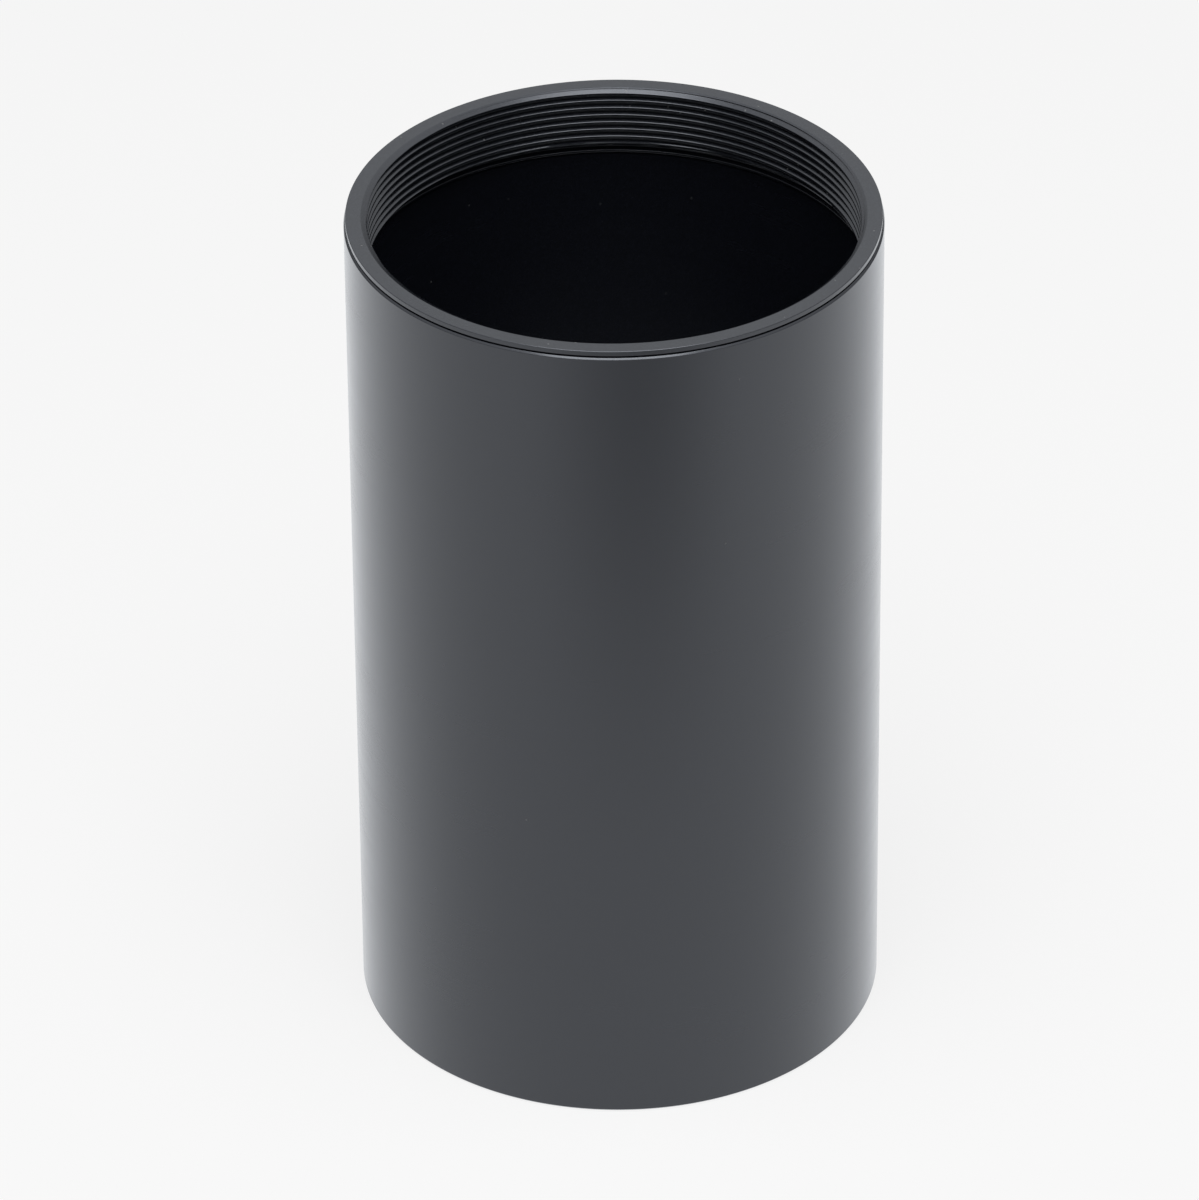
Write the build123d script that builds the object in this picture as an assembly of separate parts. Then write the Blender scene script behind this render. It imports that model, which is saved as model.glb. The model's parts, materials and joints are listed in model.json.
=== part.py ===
from build123d import *
import os

# A lens tube in two turned aluminium pieces: a plain tube, open at both ends, and a thin
# adapter ring screwed into its upper end. A lens cell, filter or adapter screws into the ring.
# The axis is +Z. The origin is the centre of the lower end, which the tube stands on.
# All sizes are in millimetres.

TUBE_LENGTH = 81.5  # overall, from the foot to the ring's rim

# Fine threads of both pieces. The open socket is drawn at the bored diameter that its crests are
# left at, and the closed thread between ring and tube at its major diameter.
THREAD_PITCH = 0.75
CREST_DEPTH_PER_PITCH = 5 / 8 * 3 ** 0.5  # ISO profile: major less minor diameter, in pitches
FLANK_HEIGHT_PER_PITCH = 5 / 16

# Adapter ring: M45 x 0.75 inside, and its shank screws into the tube.
SOCKET_MAJOR_DIAMETER = 45.0
SOCKET_DEPTH = 5.5  # from the rim down to where the lower lip is broken
MOUTH_RELIEF = 0.25  # how far the countersunk mouth opens past the thread's major radius
MOUTH_HEIGHT = 0.55  # from the rim down to where the countersink meets the thread's crests
LOWER_LIP_BREAK = 0.4
SHANK_CLEARANCE = 0.02  # between the ring's shank and the tube's thread, all round
SHANK_FOOT_BREAK = 0.3
FLANGE_INSET = 0.15  # how far the flange stays inside the body's outside, all round
FLANGE_HEIGHT = 0.36
FLANGE_EDGE_BREAK = 0.08
FLANGE_FOOT_BREAK = 0.06
HAIRLINE_WIDTH = 0.16  # the fine gap under the flange's overhang
HAIRLINE_DEPTH = 0.25  # measured in from the flange's edge

# Tube: M47 x 0.75 in its upper end, and below that bored through at that thread's crests. The
# outside is 48.3 across.
RING_WALL = 1.0  # between the major radii of the socket's thread and the tube's
BODY_WALL = 0.65  # outside the tube thread's major radius
THREAD_BELOW_RING = 1.15  # from the ring's foot down to where the last flank meets the bore
TOP_EDGE_WIDTH = 0.15
TOP_EDGE_HEIGHT = 0.3
TOP_INNER_BREAK = 0.1
FOOT_OUTER_BREAK = 0.15
FOOT_INNER_BREAK = 0.3

# Radii and heights that follow from the sizes above.
crest_depth = CREST_DEPTH_PER_PITCH * THREAD_PITCH / 2
socket_major_r = SOCKET_MAJOR_DIAMETER / 2
socket_minor_r = socket_major_r - crest_depth
mouth_r = socket_major_r + MOUTH_RELIEF
tube_thread_r = socket_major_r + RING_WALL
bore_r = tube_thread_r - crest_depth
shank_r = tube_thread_r - SHANK_CLEARANCE
body_r = tube_thread_r + BODY_WALL
flange_r = body_r - FLANGE_INSET
neck_r = flange_r - HAIRLINE_DEPTH

lip_z = TUBE_LENGTH - SOCKET_DEPTH
ring_foot_z = lip_z - LOWER_LIP_BREAK
flange_foot_z = TUBE_LENGTH - FLANGE_HEIGHT
seat_z = flange_foot_z - HAIRLINE_WIDTH
thread_foot_z = ring_foot_z - THREAD_BELOW_RING
last_root_z = thread_foot_z + FLANK_HEIGHT_PER_PITCH * THREAD_PITCH


def turned(section):
    """A closed section of (radius, height) points, turned once round the axis."""
    with BuildPart() as piece:
        with BuildSketch(Plane.XZ):
            with BuildLine():
                Polyline(*section, close=True)
            make_face()
        revolve(axis=Axis.Z)
    return piece.part


def tube():
    """The plain tube, from its foot up to the face that the ring seats on."""
    return turned([
        (bore_r + FOOT_INNER_BREAK, 0),
        (body_r - FOOT_OUTER_BREAK, 0),
        (body_r, FOOT_OUTER_BREAK),
        (body_r, seat_z - TOP_EDGE_HEIGHT),
        (body_r - TOP_EDGE_WIDTH, seat_z),
        (tube_thread_r + TOP_INNER_BREAK, seat_z),
        (tube_thread_r, seat_z - TOP_INNER_BREAK),
        (tube_thread_r, last_root_z),
        (bore_r, thread_foot_z),
        (bore_r, FOOT_INNER_BREAK),
    ])


def adapter_ring():
    """The ring: a shank in the tube's thread, a seat on its end, and a flange that overhangs it."""
    return turned([
        (mouth_r, TUBE_LENGTH),
        (socket_minor_r, TUBE_LENGTH - MOUTH_HEIGHT),
        (socket_minor_r, lip_z),
        (socket_minor_r + LOWER_LIP_BREAK, ring_foot_z),
        (shank_r - SHANK_FOOT_BREAK, ring_foot_z),
        (shank_r, ring_foot_z + SHANK_FOOT_BREAK),
        (shank_r, seat_z),
        (neck_r, seat_z),
        (neck_r, flange_foot_z),
        (flange_r - FLANGE_FOOT_BREAK, flange_foot_z),
        (flange_r, flange_foot_z + FLANGE_FOOT_BREAK),
        (flange_r, TUBE_LENGTH - FLANGE_EDGE_BREAK),
        (flange_r - FLANGE_EDGE_BREAK, TUBE_LENGTH),
    ])


os.makedirs("parts", exist_ok=True)
export_step(tube(), "parts/tube.step")
export_step(adapter_ring(), "parts/adapter_ring.step")
print("body diameter", 2 * body_r)
print("flange diameter", 2 * flange_r)
print("socket minor diameter", round(2 * socket_minor_r, 3))
print("bore diameter", round(2 * bore_r, 3))
print("straight socket wall", round(SOCKET_DEPTH - MOUTH_HEIGHT, 3))
print("straight bore", round(thread_foot_z - FOOT_INNER_BREAK, 3))
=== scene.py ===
# %% [markdown]
# # A black anodised lens tube
# A lens tube is a plain aluminium tube with a thin adapter ring screwed into one end, both turned
# on a lathe and anodised black. The fixed part model already has their true sections. This lesson
# adds what a plain solid leaves out: the cut threads, the softened edges, and the metal's skin.

# %% Load the fixed part
import bpy
import json
import math
from mathutils import Matrix, Vector


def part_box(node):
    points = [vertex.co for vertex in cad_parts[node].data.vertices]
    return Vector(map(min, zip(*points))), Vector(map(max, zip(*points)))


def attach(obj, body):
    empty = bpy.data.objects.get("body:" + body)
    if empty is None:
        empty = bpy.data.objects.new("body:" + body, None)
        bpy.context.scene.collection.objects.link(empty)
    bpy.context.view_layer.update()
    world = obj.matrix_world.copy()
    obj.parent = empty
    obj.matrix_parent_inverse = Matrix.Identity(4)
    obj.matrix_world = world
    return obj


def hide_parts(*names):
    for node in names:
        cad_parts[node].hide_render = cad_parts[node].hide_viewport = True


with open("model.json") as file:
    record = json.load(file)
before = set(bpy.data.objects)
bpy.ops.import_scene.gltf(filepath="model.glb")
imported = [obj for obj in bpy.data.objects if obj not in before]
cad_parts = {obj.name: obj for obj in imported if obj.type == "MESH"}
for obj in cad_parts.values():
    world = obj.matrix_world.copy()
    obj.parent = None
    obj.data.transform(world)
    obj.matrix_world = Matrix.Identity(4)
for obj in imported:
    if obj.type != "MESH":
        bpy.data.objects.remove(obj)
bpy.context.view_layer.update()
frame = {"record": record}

# %% [markdown]
# ## Sizes that the fixed part already has
# Everything that mates with something else is stated with the part, so it is read from there and
# not typed again: the socket's bored radius, the plain bore, the clamped outside, and the heights
# of the rim, the ring's foot and the face that the ring seats on.
# A Blender unit is a metre, so the millimetres are turned into metres here, once.

# %% Read the sizes of the tube and the ring
MM = 0.001
mounts = {mount["name"]: mount["dims"] for mount in frame["record"]["mounts"]}
socket_r = mounts["end_thread"]["r_mm"] * MM
bore_r = mounts["main_bore"]["r_mm"] * MM
body_r = mounts["clamp_seat"]["r_mm"] * MM
ring_low, ring_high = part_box("adapter_ring")
rim_z, flange_r, ring_foot_z = ring_high.z, ring_high.x, ring_low.z
solid_seat_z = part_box("tube")[1].z
print("socket", socket_r, "bore", bore_r, "body", body_r, "flange", round(flange_r, 6))
print("rim", round(rim_z, 6), "ring's foot", round(ring_foot_z, 6), "seat", round(solid_seat_z, 6))

# %% [markdown]
# ## Sizes of the threads and the edges
# Both threads have a pitch of 0.75 mm: M45 in the ring and M47 in the tube. Their flanks stand at
# 60 degrees to each other, with flats left on the crests and in the roots. The rest are the small
# steps and broken edges that a turner leaves, and they catch most of the light.

# %% Name the thread and edge sizes
PITCH = 0.75 * MM
FLANK_TURNS = 5 / 16  # length of one flank along the axis, in pitches
CREST_FLAT_TURNS = 1 / 4
ROOT_FLAT_TURNS = 1 / 8
SOCKET_START = 0.385 * MM  # depth, at the back, of the first flank's foot on its crest
TUBE_START = 0.17 * MM  # the same for the tube's own thread
TUBE_THREAD_END = 7.6 * MM
MOUTH_INSET = 0.04 * MM  # the mouth ends this far inside the thread's root, above its first groove
MOUTH_SLOPE = 1.75  # how fast the countersink closes in with depth
MOUTH_EDGE_WIDTH = 0.17 * MM  # the broken edge between the rim and the countersink
MOUTH_EDGE_HEIGHT = 0.09 * MM
LIP_BREAK = 0.4 * MM
SHANK_CLEARANCE = 0.02 * MM
SHANK_BREAK = 0.3 * MM
RECESS_BREAK = 0.1 * MM
RECESS_FOOT = 0.06 * MM  # room under the ring, above the first turn of the tube's thread
FLANGE_EDGE = 0.05 * MM
FLANGE_FOOT_EDGE = 0.03 * MM
FLANGE_HEIGHT = 0.48 * MM
SEAT_DROP = 0.12 * MM  # the seat lies this much lower than in the fixed part
HAIRLINE_DEPTH = 0.4 * MM
TOP_EDGE_WIDTH = 0.15 * MM
TOP_EDGE_HEIGHT = 0.16 * MM
FOOT_EDGE = 0.15 * MM
FOOT_INNER_EDGE = 0.3 * MM

cut_depth = FLANK_TURNS * PITCH * math.tan(math.radians(60))
socket_root_r = socket_r + cut_depth
tube_root_r = bore_r + cut_depth
mouth_r = socket_root_r - MOUTH_INSET
print("socket root", round(socket_root_r, 6), "tube root", round(tube_root_r, 6))
print("mouth", round(mouth_r, 6))

# %% [markdown]
# ## The stage
# The tube stands on a white sheet in a light tent. The sheet is lit a little, so the tube's soft
# shadow falls on it, and it also shines for rays from the camera, mirrors and glass, so that it reads
# as plain white there without throwing extra light on the tube. For mirrored rays only, a soft
# painted shade dims that glow in front of the tube.

# %% Make a helper for node trees
def add_node(tree, kind, inputs=(), **settings):
    """A new node, with its settings made and its inputs filled with values or linked to sockets."""
    node = tree.nodes.new(kind)
    for name, value in settings.items():
        setattr(node, name, value)
    for key, value in dict(inputs).items():
        socket = node.inputs[key]
        if isinstance(value, bpy.types.NodeSocket):
            tree.links.new(value, socket)
        else:
            socket.default_value = value
    return node


def maths(tree, operation, *values, clamp=False):
    """One Math node, whose result socket is returned."""
    node = add_node(tree, "ShaderNodeMath", enumerate(values), operation=operation, use_clamp=clamp)
    return node.outputs[0]


def blend(tree, share, first, second):
    """The first number where the share is 0, the second where it is 1, and a blend between."""
    inputs = {0: share, 2: first, 3: second}
    return add_node(tree, "ShaderNodeMix", inputs, data_type="FLOAT").outputs[0]


def vector_maths(tree, operation, first, second):
    """One Vector Math node on two vectors, whose result socket is returned."""
    inputs = {0: first, 1: second}
    return add_node(tree, "ShaderNodeVectorMath", inputs, operation=operation).outputs[0]


def new_material(name):
    """An empty node material with its output node."""
    material = bpy.data.materials.new(name)
    material.use_nodes = True
    material.node_tree.nodes.clear()
    output = material.node_tree.nodes.new("ShaderNodeOutputMaterial")
    return material, material.node_tree, output

print("helpers ready")

# %% Colour what mirrors and the camera see
SHEET_WHITE = 0.95  # how bright the sheet and the tent look, where 1 is pure white
SHEET_OWN_SHARE = 0.83  # the share of that which the sheet gives itself, and no shadow takes away
SHEET_ALBEDO = 0.195
TENT_FILL = 0.22  # the light that the tent gives the tube's own colour
TENT_FOOT = 0.05  # how bright the tent's wall looks where it meets the sheet, in the dim room
TENT_TOP = 0.73  # sine of the angle above the sheet from which the wall is white


def seen_directly(tree):
    """1 for rays from the camera and for mirrored and refracted rays, and 0 for the rest."""
    path = add_node(tree, "ShaderNodeLightPath")
    either = maths(tree, "MAXIMUM", path.outputs["Is Camera Ray"], path.outputs["Is Glossy Ray"])
    return maths(tree, "MAXIMUM", either, path.outputs["Is Transmission Ray"])


world = bpy.data.worlds.new("tent")
bpy.context.scene.world = world
world.use_nodes = True
world.node_tree.nodes.clear()
tent = world.node_tree
towards = add_node(tent, "ShaderNodeTexCoord").outputs["Generated"]
height_seen = add_node(tent, "ShaderNodeSeparateXYZ", {0: towards}).outputs["Z"]
wall_light = add_node(tent, "ShaderNodeMapRange", {
    "Value": height_seen, 1: 0.0, 2: TENT_TOP, 3: TENT_FOOT, 4: SHEET_WHITE,
}).outputs[0]
straight = add_node(tent, "ShaderNodeLightPath").outputs["Is Camera Ray"]
wall_light = blend(tent, straight, wall_light, SHEET_WHITE)
strength = blend(tent, seen_directly(tent), TENT_FILL, wall_light)
background = add_node(tent, "ShaderNodeBackground", {"Color": (1, 1, 1, 1), "Strength": strength})
add_node(tent, "ShaderNodeOutputWorld", {"Surface": background.outputs[0]})
print("tent white", SHEET_WHITE, "fill", TENT_FILL)

# %% Lay the white sheet
SHEET_HALF = 6.0
SHEET_DROP = -0.02 * MM  # so that the foot and the sheet never share a plane
# painted shade: a dark patch in the sheet's glow, in front of the tube, that only mirrored rays see
SHADE_PLACE = (0.03, -0.18, 0.0)  # the middle of a soft shade that only the tube mirrors
SHADE_REACH = (0.15, 0.12, 1.0)
SHADE_DEPTH = 0.6
sheet_material, sheet_tree, sheet_output = new_material("white_sheet")
lit = add_node(sheet_tree, "ShaderNodeBsdfDiffuse", {"Color": (SHEET_ALBEDO,) * 3 + (1,)})
glow = add_node(sheet_tree, "ShaderNodeEmission", {"Color": (1, 1, 1, 1)})
on_sheet = add_node(sheet_tree, "ShaderNodeTexCoord").outputs["Object"]
from_shade = vector_maths(sheet_tree, "SUBTRACT", on_sheet, SHADE_PLACE)
in_reach = vector_maths(sheet_tree, "DIVIDE", from_shade, SHADE_REACH)
measured = add_node(sheet_tree, "ShaderNodeVectorMath", {0: in_reach}, operation="LENGTH")
how_far = measured.outputs["Value"]
# painted shade: the sheet's glow is dimmed towards SHADE_PLACE, and camera rays still see plain white
left_over = add_node(sheet_tree, "ShaderNodeMapRange", {
    "Value": how_far, 1: 0.0, 2: 1.0, 3: 1 - SHADE_DEPTH, 4: 1.0,
}, interpolation_type="SMOOTHSTEP").outputs[0]
straight = add_node(sheet_tree, "ShaderNodeLightPath").outputs["Is Camera Ray"]
left_over = blend(sheet_tree, straight, left_over, 1.0)
sheet_white = maths(sheet_tree, "MULTIPLY", left_over, SHEET_WHITE * SHEET_OWN_SHARE)
own_light = maths(sheet_tree, "MULTIPLY", seen_directly(sheet_tree), sheet_white)
sheet_tree.links.new(own_light, glow.inputs["Strength"])
both = add_node(sheet_tree, "ShaderNodeAddShader", {0: lit.outputs[0], 1: glow.outputs[0]})
sheet_tree.links.new(both.outputs[0], sheet_output.inputs["Surface"])

sheet_mesh = bpy.data.meshes.new("sheet")
corners = [
    (x * SHEET_HALF, y * SHEET_HALF, SHEET_DROP) for x, y in ((-1, -1), (1, -1), (1, 1), (-1, 1))
]
sheet_mesh.from_pydata(corners, [], [(0, 1, 2, 3)])
sheet_mesh.materials.append(sheet_material)
sheet = bpy.data.objects.new("sheet", sheet_mesh)
bpy.context.scene.collection.objects.link(sheet)
print("sheet", 2 * SHEET_HALF, "m square")

# %% Hang the soft box
BOX_SIDE = 0.5
BOX_DISTANCE = 0.6
BOX_LEAN = math.radians(18)  # from straight overhead towards the camera
BOX_WATTS = 3.1

box_light = bpy.data.lights.new("soft_box", "AREA")
box_light.shape = "SQUARE"
box_light.size = BOX_SIDE
box_light.energy = BOX_WATTS
soft_box = bpy.data.objects.new("soft_box", box_light)
box_aim = Vector((0, 0, rim_z))
box_place = box_aim + BOX_DISTANCE * Vector((0, -math.sin(BOX_LEAN), math.cos(BOX_LEAN)))
soft_box.location = box_place
soft_box.rotation_euler = (box_aim - box_place).to_track_quat("-Z", "Y").to_euler()
soft_box.visible_camera = False
bpy.context.scene.collection.objects.link(soft_box)
print("soft box at", tuple(round(v, 3) for v in box_place))

# %% [markdown]
# ## The camera
# A long lens, well back, looks down into the socket at about a third of a right angle, so the near
# wall, the rim and the thread on the far wall all show. The tube's middle is nearly centred.

# %% Set up the camera
LENS_MM = 267.48
SENSOR_MM = 36.0
CAMERA_DISTANCE = 16.927 * 2 * body_r
CAMERA_PITCH = math.radians(32.868)
CAMERA_ROLL = math.radians(-0.541)
CAMERA_ACROSS = -0.03342541 * 2 * body_r
CAMERA_UP = -0.00759122 * 2 * body_r
NEAREST_SEEN = 0.01
FARTHEST_SEEN = 50

forward = Vector((0, math.cos(CAMERA_PITCH), -math.sin(CAMERA_PITCH)))
right = Vector((1, 0, 0))
upward = Vector((0, math.sin(CAMERA_PITCH), math.cos(CAMERA_PITCH)))
place = Vector((0, 0, rim_z / 2)) - CAMERA_DISTANCE * forward
place = place + CAMERA_ACROSS * right + CAMERA_UP * upward
camera_x = math.cos(CAMERA_ROLL) * right + math.sin(CAMERA_ROLL) * upward
camera_y = -math.sin(CAMERA_ROLL) * right + math.cos(CAMERA_ROLL) * upward
camera_data = bpy.data.cameras.new("camera")
camera_data.lens = LENS_MM
camera_data.sensor_width = SENSOR_MM
camera_data.sensor_fit = "AUTO"
camera_data.clip_start = NEAREST_SEEN
camera_data.clip_end = FARTHEST_SEEN
camera = bpy.data.objects.new("camera", camera_data)
axes = Matrix((camera_x, camera_y, -forward)).transposed().to_4x4()
camera.matrix_world = Matrix.Translation(place) @ axes
bpy.context.scene.collection.objects.link(camera)
bpy.context.scene.camera = camera
bpy.context.scene.view_settings.view_transform = "Standard"
print("camera", round(CAMERA_DISTANCE, 3), "m away")

# %% [markdown]
# ## The sections
# Every turned piece is a section carried round an axis. Each section is written as corners, each a
# radius and a height, and each corner is rounded a little, because no tool leaves a knife edge and
# anodising rounds it further. A row of points close to each side of a rounded corner keeps the
# shading of the flat beside it flat.

# %% Round the corners of a section
SUPPORT_GAP = 0.03 * MM
MOST_OF_SIDE = 0.45  # the share of a side that the rounding of one end may take
LONG_SIDE = 3  # a side longer than this many radii gets a support point


def rounded(corners, radius, steps=3):
    """The corners with each inner one replaced by a small arc and a support point on either side."""
    points = [Vector(corners[0])]
    for before, corner, after in zip(corners, corners[1:], corners[2:]):
        before, corner, after = Vector(before), Vector(corner), Vector(after)
        back, ahead = (before - corner), (after - corner)
        start = corner + back.normalized() * min(radius, MOST_OF_SIDE * back.length)
        end = corner + ahead.normalized() * min(radius, MOST_OF_SIDE * ahead.length)
        if back.length > LONG_SIDE * radius:
            points.append(start + back.normalized() * SUPPORT_GAP)
        for step in range(steps + 1):
            t = step / steps
            points.append(start * (1 - t) ** 2 + corner * 2 * t * (1 - t) + end * t ** 2)
        if ahead.length > LONG_SIDE * radius:
            points.append(end + ahead.normalized() * SUPPORT_GAP)
    points.append(Vector(corners[-1]))
    return points

print("a square corner becomes", len(rounded([(0, 1), (0, 0), (1, 0)], 0.1)), "points")

# %% Write the plain part of the ring's section
EDGE_RADIUS = 0.03 * MM
flange_foot_z = rim_z - FLANGE_HEIGHT
seat_z = solid_seat_z - SEAT_DROP
neck_r = flange_r - HAIRLINE_DEPTH
shank_r = tube_root_r - SHANK_CLEARANCE
lip_r = socket_root_r + SHANK_CLEARANCE
ring_corners = [
    (mouth_r, rim_z - MOUTH_EDGE_HEIGHT),
    (mouth_r + MOUTH_EDGE_WIDTH, rim_z),
    (flange_r - FLANGE_EDGE, rim_z),
    (flange_r, rim_z - FLANGE_EDGE),
    (flange_r, flange_foot_z + FLANGE_FOOT_EDGE),
    (flange_r - FLANGE_FOOT_EDGE, flange_foot_z),
    (neck_r, flange_foot_z),
    (neck_r, seat_z),
    (shank_r, seat_z),
    (shank_r, ring_foot_z + SHANK_BREAK),
    (shank_r - SHANK_BREAK, ring_foot_z),
    (lip_r, ring_foot_z),
]
ring_points = rounded(ring_corners, EDGE_RADIUS)
print("ring's plain points", len(ring_points))

# %% Write the plain part of the tube's section
recess_foot_z = ring_foot_z - RECESS_FOOT
tube_thread_foot_z = rim_z - TUBE_THREAD_END
tube_corners = [
    (tube_root_r, recess_foot_z),
    (tube_root_r, seat_z - RECESS_BREAK),
    (tube_root_r + RECESS_BREAK, seat_z),
    (body_r - TOP_EDGE_WIDTH, seat_z),
    (body_r, seat_z - TOP_EDGE_HEIGHT),
    (body_r, FOOT_EDGE),
    (body_r - FOOT_EDGE, 0),
    (bore_r + FOOT_INNER_EDGE, 0),
    (bore_r, FOOT_INNER_EDGE),
    (bore_r, tube_thread_foot_z),
]
tube_points = rounded(tube_corners, EDGE_RADIUS)
print("tube's plain points", len(tube_points))

# %% Write the turns of a thread
THREAD_EDGE = 0.02 * MM
FLANK_STEP = 0.07 * MM  # between rows, so that the mouth or the lip can trim a flank anywhere
SNAP = 0.002 * MM  # a row this close to an end face lies in it
SPARE_TURNS = 2  # turns past each end, which the end faces trim away


def subdivided(points, longest):
    """The points with more of them on each long stretch."""
    result = [points[0]]
    for before, after in zip(points, points[1:]):
        parts = math.ceil((after - before).length / longest)
        result += [before.lerp(after, (part + 1) / parts) for part in range(parts)]
    return result


def thread_rows(crest_r, start, end):
    """Rows of (radius, depth, turn) on the seam, from the mouth down, one pitch below another."""
    root_r = crest_r + cut_depth
    flank, root_half = FLANK_TURNS * PITCH, ROOT_FLAT_TURNS / 2 * PITCH
    crest = CREST_FLAT_TURNS * PITCH
    corners = [
        (root_r, -flank - root_half),
        (root_r, -flank),
        (crest_r, 0),
        (crest_r, crest),
        (root_r, crest + flank),
        (root_r, crest + flank + root_half),
    ]
    turn_points = subdivided(rounded(corners, THREAD_EDGE, steps=2), FLANK_STEP)[:-1]
    rows = []
    for turn in range(-SPARE_TURNS, math.ceil((end - start) / PITCH) + SPARE_TURNS):
        top = start - PITCH / 2 + turn * PITCH
        rows += [(point.x, top + point.y, turn) for point in turn_points]
    return rows

print("socket thread rows", len(thread_rows(socket_r, SOCKET_START, rim_z - ring_foot_z)))

# %% [markdown]
# ## Turn and tap
# A screw thread is a section that climbs as it goes round. So each whole piece can be one grid of
# columns and rows: a row of the plain section keeps its height all the way round, and a row of the
# thread sinks by one pitch in each turn. The countersunk mouth, the broken lip and the end faces
# then trim the thread as they do on a lathe: each point moves out to whichever cut goes deeper. Rows
# past an end face gather in it, on one circle, so that the skin closes.
# A lathe modifier could turn the section, but not carry a thread into a countersink.

# %% Store a section as a string of points
def section_object(name, plain_points, tapped_rows):
    """The closed section as loose points that say whether they are tapped, and in which turn."""
    rows = [(p.x, p.y, 0.0, 0.0) for p in plain_points]
    rows += [(r, depth, 1.0, float(turn)) for r, depth, turn in reversed(tapped_rows)]
    rows.append((plain_points[0].x, plain_points[0].y, 0.0, 0.0))
    mesh = bpy.data.meshes.new(name)
    mesh.from_pydata([(row[0], 0, row[1]) for row in rows], [], [])
    for column, label in ((2, "tapped"), (3, "turn")):
        mark = mesh.attributes.new(label, "FLOAT", "POINT")
        mark.data.foreach_set("value", [row[column] for row in rows])
    section = bpy.data.objects.new(name, mesh)
    bpy.context.scene.collection.objects.link(section)
    print(name, "rows", len(rows))
    return section, len(rows)

# %% Start the tree that turns and taps
turning = bpy.data.node_groups.new("turn and tap", "GeometryNodeTree")
panel = turning.interface
panel.new_socket("Section", in_out="INPUT", socket_type="NodeSocketGeometry")
for name in ("Pitch", "Rim height", "Least depth", "Greatest depth", "Crest radius", "Mouth radius",
             "Mouth slope", "Lip depth", "Lip slope", "Last turn"):
    panel.new_socket(name, in_out="INPUT", socket_type="NodeSocketFloat")
for name in ("Columns", "Rows"):
    panel.new_socket(name, in_out="INPUT", socket_type="NodeSocketInt")
panel.new_socket("Finish", in_out="INPUT", socket_type="NodeSocketMaterial")
panel.new_socket("Piece", in_out="OUTPUT", socket_type="NodeSocketGeometry")
given = add_node(turning, "NodeGroupInput").outputs


def field(operation, *values, clamp=False):
    """One Math node in the turning tree."""
    return maths(turning, operation, *values, clamp=clamp)

print("tree inputs", len(given) - 1)

# %% Find each grid point's column and row
columns_plus_one = field("ADD", given["Columns"], 1)
grid = add_node(turning, "GeometryNodeMeshGrid", {
    "Vertices X": columns_plus_one, "Vertices Y": given["Rows"],
})
index = add_node(turning, "GeometryNodeInputIndex").outputs[0]
column = field("FLOOR", field("DIVIDE", field("ADD", index, 0.5), given["Rows"]))
row = field("SUBTRACT", index, field("MULTIPLY", column, given["Rows"]))
turn_share = field("DIVIDE", column, given["Columns"])
print("tree nodes so far", len(turning.nodes))

# %% Read the section at that row
def read_row(kind, value):
    """The value at the section's point that has this row's number."""
    node = turning.nodes.new("GeometryNodeSampleIndex")
    node.data_type = kind
    turning.links.new(given["Section"], node.inputs["Geometry"])
    turning.links.new(value, node.inputs["Value"])
    turning.links.new(row, node.inputs["Index"])
    return node.outputs[0]


def mark(label):
    """A named number that the section's points carry."""
    node = add_node(turning, "GeometryNodeInputNamedAttribute", {"Name": label}, data_type="FLOAT")
    return node.outputs[0]


section_place = add_node(turning, "GeometryNodeInputPosition").outputs[0]
row_place = read_row("FLOAT_VECTOR", section_place)
section_xyz = add_node(turning, "ShaderNodeSeparateXYZ", {0: row_place}).outputs
tapped = read_row("FLOAT", mark("tapped"))
turn = read_row("FLOAT", mark("turn"))
print("tree nodes so far", len(turning.nodes))

# %% Cut the thread, the mouth and the lip
RUN_OUT_TURNS = 0.25  # over which a thread that stops grows shallow
sunk = field("ADD", section_xyz["Z"], field("MULTIPLY", turn_share, given["Pitch"]))
too_high = field("LESS_THAN", sunk, field("ADD", given["Least depth"], SNAP))
too_low = field("GREATER_THAN", sunk, field("SUBTRACT", given["Greatest depth"], SNAP))
within = field("SUBTRACT", field("SUBTRACT", 1.0, too_high), too_low)
above_foot = blend(turning, too_low, sunk, given["Greatest depth"])
depth = blend(turning, too_high, above_foot, given["Least depth"])
turns_left = field("SUBTRACT", given["Last turn"], field("ADD", turn, turn_share))
run_out = field("MULTIPLY", turns_left, 1 / RUN_OUT_TURNS, clamp=True)
run_out = field("MULTIPLY", run_out, within)
full_cut = field("SUBTRACT", section_xyz["X"], given["Crest radius"])
thread_r = field("ADD", given["Crest radius"], field("MULTIPLY", full_cut, run_out))
below_mouth = field("SUBTRACT", depth, given["Least depth"])
closing_in = field("MULTIPLY", below_mouth, given["Mouth slope"])
mouth_cone = field("SUBTRACT", given["Mouth radius"], closing_in)
past_lip = field("SUBTRACT", depth, given["Lip depth"])
lip_cone = field("ADD", given["Crest radius"], field("MULTIPLY", past_lip, given["Lip slope"]))
tapped_radius = field("MAXIMUM", field("MAXIMUM", thread_r, mouth_cone), lip_cone)
tapped_height = field("SUBTRACT", given["Rim height"], depth)
print("tree nodes so far", len(turning.nodes))

# %% Turn the rows into a closed skin
MERGE_DISTANCE = 0.001 * MM

def chosen(plain, cut):
    """The plain value where a row isn't tapped, and the cut one where it is."""
    return blend(turning, tapped, plain, cut)


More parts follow.
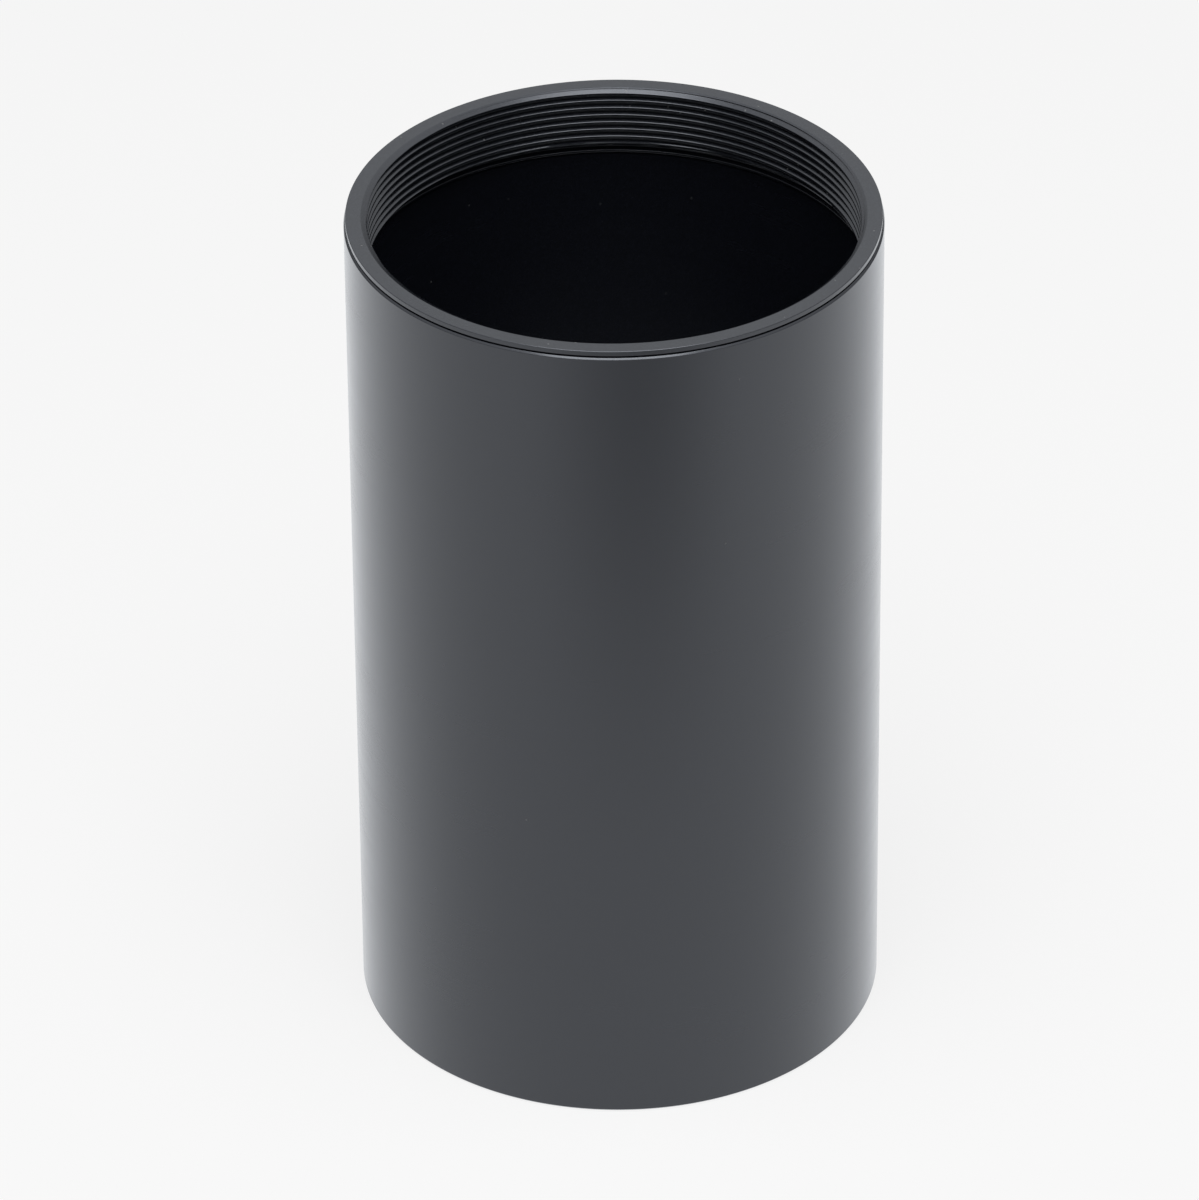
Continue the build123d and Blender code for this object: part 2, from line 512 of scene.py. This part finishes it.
radius = chosen(section_xyz["X"], tapped_radius)
height = chosen(section_xyz["Z"], tapped_height)
angle = field("MULTIPLY", field("SUBTRACT", turn_share, 0.5), 2 * math.pi)
turned = add_node(turning, "ShaderNodeCombineXYZ", {
    "X": field("MULTIPLY", radius, field("SINE", angle)),
    "Y": field("MULTIPLY", radius, field("COSINE", angle)),
    "Z": height,
})
placed = add_node(turning, "GeometryNodeSetPosition", {
    "Geometry": grid.outputs["Mesh"], "Position": turned.outputs[0],
})
closed = add_node(turning, "GeometryNodeMergeByDistance", {
    "Geometry": placed.outputs[0], "Distance": MERGE_DISTANCE,
})
smooth = add_node(turning, "GeometryNodeSetShadeSmooth", {0: closed.outputs[0]})
real = add_node(turning, "GeometryNodeRealizeInstances", {0: smooth.outputs[0]})
finished = add_node(turning, "GeometryNodeSetMaterial", {
    "Geometry": real.outputs[0], "Material": given["Finish"],
})
add_node(turning, "NodeGroupOutput", {0: finished.outputs[0]})
print("tree nodes", len(turning.nodes))

# %% [markdown]
# ## Black anodising over turned aluminium
# The tool leaves a very fine spiral on every turned face. Anodising etches it and grows a hard, dyed
# oxide over it, so the metal reads as satin black with a thin, clear shine on top. On the walls the
# spiral shows as lines around the axis and on the end faces as rings, so one pattern that depends on
# the radius and the height, and hardly on the angle, gives both. Handling adds dust and small nicks.

# %% Start a shader group
def shader_group(name, inputs, outputs):
    """A node group with named inputs and outputs, and the sockets that its nodes read."""
    tree = bpy.data.node_groups.new(name, "ShaderNodeTree")
    for label, kind, value in inputs:
        socket = tree.interface.new_socket(label, in_out="INPUT", socket_type=kind)
        if value is not None:
            socket.default_value = value
    for label, kind in outputs:
        tree.interface.new_socket(label, in_out="OUTPUT", socket_type=kind)
    return tree, add_node(tree, "NodeGroupInput").outputs


def noise(tree, place, detail):
    """Plain noise over a place that is already scaled."""
    inputs = {"Vector": place, "Scale": 1.0, "Detail": detail}
    return add_node(tree, "ShaderNodeTexNoise", inputs).outputs[0]


def scaled(tree, place, scale):
    """The place with each of its numbers multiplied by the scale."""
    inputs = {0: place, "Scale": scale}
    return add_node(tree, "ShaderNodeVectorMath", inputs, operation="SCALE").outputs[0]


FLOAT, VECTOR = "NodeSocketFloat", "NodeSocketVector"
print("group helper ready")

# %% Make the turning lines
WIDER = (0.13, 2.0, 0.13)  # stretches the streaks across the lines and shortens them along

lines, asked = shader_group("turning_lines", [
    ("Place", VECTOR, None),
    ("Line spacing", FLOAT, 0.12 * MM),
    ("Waver", FLOAT, 0.35),
], [("Height", FLOAT), ("Streaks", FLOAT)])
where = add_node(lines, "ShaderNodeSeparateXYZ", {0: asked["Place"]}).outputs
x_squared, y_squared = (maths(lines, "POWER", where[axis], 2.0) for axis in "XY")
across = maths(lines, "SQRT", maths(lines, "ADD", x_squared, y_squared))
around = maths(lines, "ARCTAN2", where["X"], where["Y"])
lathe_place = add_node(lines, "ShaderNodeCombineXYZ", {
    "X": maths(lines, "DIVIDE", across, asked["Line spacing"]),
    "Y": maths(lines, "MULTIPLY", around, asked["Waver"]),
    "Z": maths(lines, "DIVIDE", where["Z"], asked["Line spacing"]),
}).outputs[0]
fine = noise(lines, lathe_place, 2.0)
wide = noise(lines, vector_maths(lines, "MULTIPLY", lathe_place, WIDER), 3.0)
add_node(lines, "NodeGroupOutput", {"Height": fine, "Streaks": wide})
print("turning lines", len(lines.nodes), "nodes")

# %% Make the dust and the nicks
MOTTLE_PER_METRE = 90.0
GRAINS_PER_METRE = 9000.0

wear, asked = shader_group("dust_and_nicks", [
    ("Place", VECTOR, None),
    ("Cell", FLOAT, 1.2 * MM),
    ("Share", FLOAT, 0.10),
    ("Speck size", FLOAT, 0.10),
], [("Dust", FLOAT), ("Mottle", FLOAT), ("Grain", FLOAT)])
cell_place = scaled(wear, asked["Place"], maths(wear, "DIVIDE", 1.0, asked["Cell"]))
cells = add_node(wear, "ShaderNodeTexVoronoi", {"Vector": cell_place, "Scale": 1.0}).outputs
drawn_lot = add_node(wear, "ShaderNodeSeparateColor", {0: cells["Color"]}).outputs[0]
picked = maths(wear, "LESS_THAN", drawn_lot, asked["Share"])
from_middle = maths(wear, "DIVIDE", cells["Distance"], asked["Speck size"], clamp=True)
speck = maths(wear, "SUBTRACT", 1.0, from_middle, clamp=True)
add_node(wear, "NodeGroupOutput", {
    "Dust": maths(wear, "MULTIPLY", picked, speck),
    "Mottle": noise(wear, scaled(wear, asked["Place"], MOTTLE_PER_METRE), 4.0),
    "Grain": noise(wear, scaled(wear, asked["Place"], GRAINS_PER_METRE), 1.0),
})
print("dust and nicks", len(wear.nodes), "nodes")

# %% Put the finish together
OXIDE_IOR = 1.48
OXIDE_BLACK = (0.0060, 0.0064, 0.0085, 1)
DUST_COLOUR = (0.20, 0.19, 0.17, 1)
STREAK_ROUGHNESS = 0.10
MOTTLE_ROUGHNESS = 0.10
DUST_ROUGHNESS = 0.4


def anodised_finish(name, spacing, line_height, dust_share, pale, roughness):
    """Satin black anodising: a dyed layer under a clear shine, over fine turning lines."""
    material, tree, output = new_material(name)
    here = add_node(tree, "ShaderNodeTexCoord").outputs["Object"]
    turned_lines = add_node(tree, "ShaderNodeGroup", node_tree=lines)
    tree.links.new(here, turned_lines.inputs["Place"])
    turned_lines.inputs["Line spacing"].default_value = spacing
    handled = add_node(tree, "ShaderNodeGroup", node_tree=wear)
    tree.links.new(here, handled.inputs["Place"])
    handled.inputs["Share"].default_value = dust_share
    streaks = turned_lines.outputs["Streaks"]
    mottle, dust = handled.outputs["Mottle"], handled.outputs["Dust"]
    rough = maths(tree, "MULTIPLY_ADD", streaks, STREAK_ROUGHNESS, roughness - STREAK_ROUGHNESS)
    rough = maths(tree, "MULTIPLY_ADD", mottle, MOTTLE_ROUGHNESS, rough)
    rough = maths(tree, "MULTIPLY_ADD", dust, DUST_ROUGHNESS, rough, clamp=True)
    pits = add_node(tree, "ShaderNodeMapRange", {
        "Value": handled.outputs["Grain"], 1: 0.45, 2: 0.75, 3: 0.0, 4: 1.0,
    }).outputs[0]
    anodised_black = add_node(tree, "ShaderNodeMix", {
        0: pits, 6: OXIDE_BLACK, 7: pale,
    }, data_type="RGBA").outputs[2]
    colour = add_node(tree, "ShaderNodeMix", {
        0: dust, 6: anodised_black, 7: DUST_COLOUR,
    }, data_type="RGBA").outputs[2]
    bump = add_node(tree, "ShaderNodeBump", {
        "Height": turned_lines.outputs["Height"], "Strength": 1.0, "Distance": line_height,
    }).outputs[0]
    shader = add_node(tree, "ShaderNodeBsdfPrincipled", {
        "Base Color": colour,
        "Roughness": rough,
        "IOR": OXIDE_IOR,
        "Specular Tint": (0.84, 0.89, 1.0, 1),
        "Coat Weight": 1.0,
        "Coat IOR": OXIDE_IOR,
        "Coat Roughness": 0.2,
        "Coat Tint": (0.88, 0.93, 1.0, 1),
        "Normal": bump,
    })
    tree.links.new(shader.outputs[0], output.inputs["Surface"])
    return material


anodised_tube = anodised_finish(
    "black_anodised_tube", spacing=0.14 * MM, line_height=0.0016 * MM, dust_share=0.03,
    pale=(0.013, 0.014, 0.020, 1), roughness=0.25,
)
anodised_ring = anodised_finish(
    "black_anodised_ring", spacing=0.09 * MM, line_height=0.0012 * MM, dust_share=0.35,
    pale=(0.028, 0.030, 0.034, 1), roughness=0.25,
)
print("finishes", anodised_tube.name, anodised_ring.name)

# %% Make a plain mesh piece from a section
import bmesh

COLUMNS = 288
HARD_ANGLE = math.radians(35)  # edges that turn more than this stay hard
CUBIC_CM = 1e-6


def turned_piece(name, section, rows, finish, values):
    """Turns and taps a section, and returns a mesh piece whose seams are merged shut."""
    shared = {"Pitch": PITCH, "Rim height": rim_z, "Columns": COLUMNS, "Rows": rows, "Finish": finish}
    values = dict(values, **shared)
    modifier = section.modifiers.new(turning.name, "NODES")
    modifier.node_group = turning
    for item in turning.interface.items_tree:
        if item.in_out == "INPUT" and item.name in values:
            modifier[item.identifier] = values[item.name]
    graph = bpy.context.evaluated_depsgraph_get()
    mesh = bpy.data.meshes.new_from_object(section.evaluated_get(graph))
    section.modifiers.remove(modifier)
    bpy.data.objects.remove(section)
    mesh.name = name
    piece = bpy.data.objects.new(name, mesh)
    bpy.context.scene.collection.objects.link(piece)
    return piece


def check_skin(piece):
    """Turns the faces outwards, keeps hard edges hard, and says whether the skin is closed."""
    check = bmesh.new()
    check.from_mesh(piece.data)
    bmesh.ops.recalc_face_normals(check, faces=check.faces)
    open_count = sum(len(edge.link_faces) != 2 for edge in check.edges)
    volume = check.calc_volume(signed=True)
    if volume < 0:
        bmesh.ops.reverse_faces(check, faces=check.faces)
    triangles = sum(len(face.verts) - 2 for face in check.faces)
    check.to_mesh(piece.data)
    check.free()
    piece.data.set_sharp_from_angle(angle=HARD_ANGLE)
    print(piece.name, "open edges", open_count, "triangles", triangles)
    print(piece.name, "cm3", round(abs(volume) / CUBIC_CM, 3))

# %% [markdown]
# ## The pieces
# Both pieces come from the same tree, each with its own section and cuts. The ring's thread runs out
# through its lip, so it never stops. Each skin is tested for edges that don't have exactly two faces,
# because such a mesh couldn't be printed or weighed.

# %% Turn the ring
NO_STOP = 1000.0  # a last turn that is far past the end
socket_depth = rim_z - ring_foot_z
lip_depth = socket_depth - LIP_BREAK
ring_thread = thread_rows(socket_r, SOCKET_START, socket_depth)
section, rows = section_object("ring_section", ring_points, ring_thread)
adapter_ring = turned_piece("threaded_ring", section, rows, anodised_ring, {
    "Least depth": MOUTH_EDGE_HEIGHT,
    "Greatest depth": socket_depth,
    "Crest radius": socket_r,
    "Mouth radius": mouth_r,
    "Mouth slope": MOUTH_SLOPE,
    "Lip depth": lip_depth,
    "Lip slope": (lip_r - socket_r) / LIP_BREAK,
    "Last turn": NO_STOP,
})
check_skin(adapter_ring)

# %% Turn the tube
TUBE_LAST_TURN = 10.0
tube_thread = thread_rows(bore_r, TUBE_START, TUBE_THREAD_END)
section, rows = section_object("tube_section", tube_points, tube_thread)
tube = turned_piece("tube_body", section, rows, anodised_tube, {
    "Least depth": rim_z - recess_foot_z,
    "Greatest depth": TUBE_THREAD_END,
    "Crest radius": bore_r,
    "Mouth radius": tube_root_r,
    "Mouth slope": 1.0,
    "Lip depth": TUBE_THREAD_END,
    "Lip slope": 0.0,
    "Last turn": TUBE_LAST_TURN,
})
check_skin(tube)

# %% Hand the pieces over
for piece, node in ((tube, "tube"), (adapter_ring, "adapter_ring")):
    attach(piece, "root")
    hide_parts(node)
